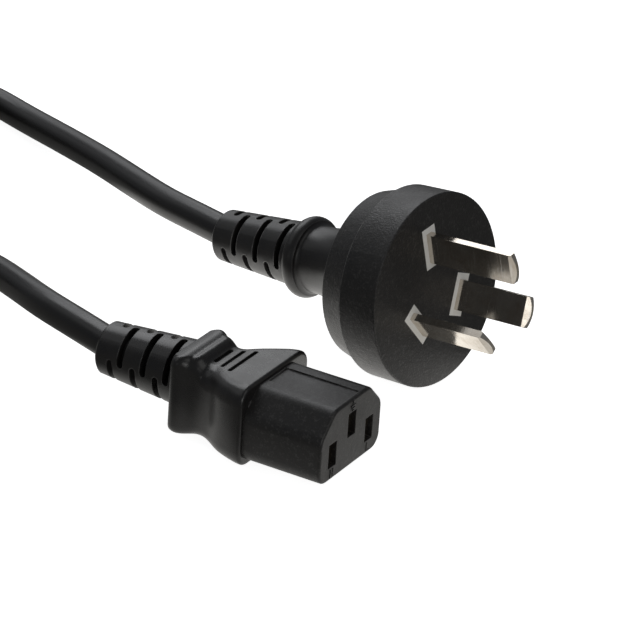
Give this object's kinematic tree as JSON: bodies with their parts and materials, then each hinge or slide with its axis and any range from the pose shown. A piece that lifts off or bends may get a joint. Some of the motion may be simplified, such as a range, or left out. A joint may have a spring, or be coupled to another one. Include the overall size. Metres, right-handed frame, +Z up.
{
  "type": "type i plug",
  "caption": "Round flat-pin mains plug with a moulded black body, on a cord with a slotted appliance connector at its far end and slotted strain reliefs.",
  "frame": {"origin": "on the floor, under the middle of the plug from its earth blade's tip to its tail's end", "axes": "+X is the heading in which the blades point, +Z is up; the plug leans 6.0 degrees face up and is rolled 6.7 degrees about its own axis, as it lies in the picture"},
  "size_m": [0.2582, 0.0944, 0.0409],
  "materials": {
    "moulding": "fine spark texture, satin",
    "nose_plastic": "fine texture, satin",
    "carrier": "plain moulded",
    "pin_plating": "bright nickel plating, lightly drawn",
    "contact_metal": "bright pressed strip",
    "core_green_yellow": "smooth",
    "core_brown": "smooth",
    "core_blue": "smooth",
    "copper": "bare stranded copper",
    "cord_sheath": "satin",
    "tie": "satin"
  },
  "bodies": {
    "root": {"plug_body": "moulding", "pin_carrier": "carrier", "earth_pin": "pin_plating", "live_pin": "pin_plating", "neutral_pin": "pin_plating", "plug_earth_core": "core_green_yellow", "plug_live_core": "core_brown", "plug_neutral_core": "core_blue", "plug_earth_strands": "copper", "plug_live_strands": "copper", "plug_neutral_strands": "copper", "plug_sheath_end": "cord_sheath", "connector_earth_core": "core_green_yellow", "connector_live_core": "core_brown", "connector_neutral_core": "core_blue", "connector_earth_strands": "copper", "connector_live_strands": "copper", "connector_neutral_strands": "copper", "connector_sheath_end": "cord_sheath", "connector_body": "moulding", "connector_nose": "nose_plastic", "earth_contact": "contact_metal", "live_contact": "contact_metal", "neutral_contact": "contact_metal", "cord_plug_side": "cord_sheath", "cord_coil": "cord_sheath", "cord_connector_side": "cord_sheath", "coil_tie": "tie"}
  },
  "joints": []
}
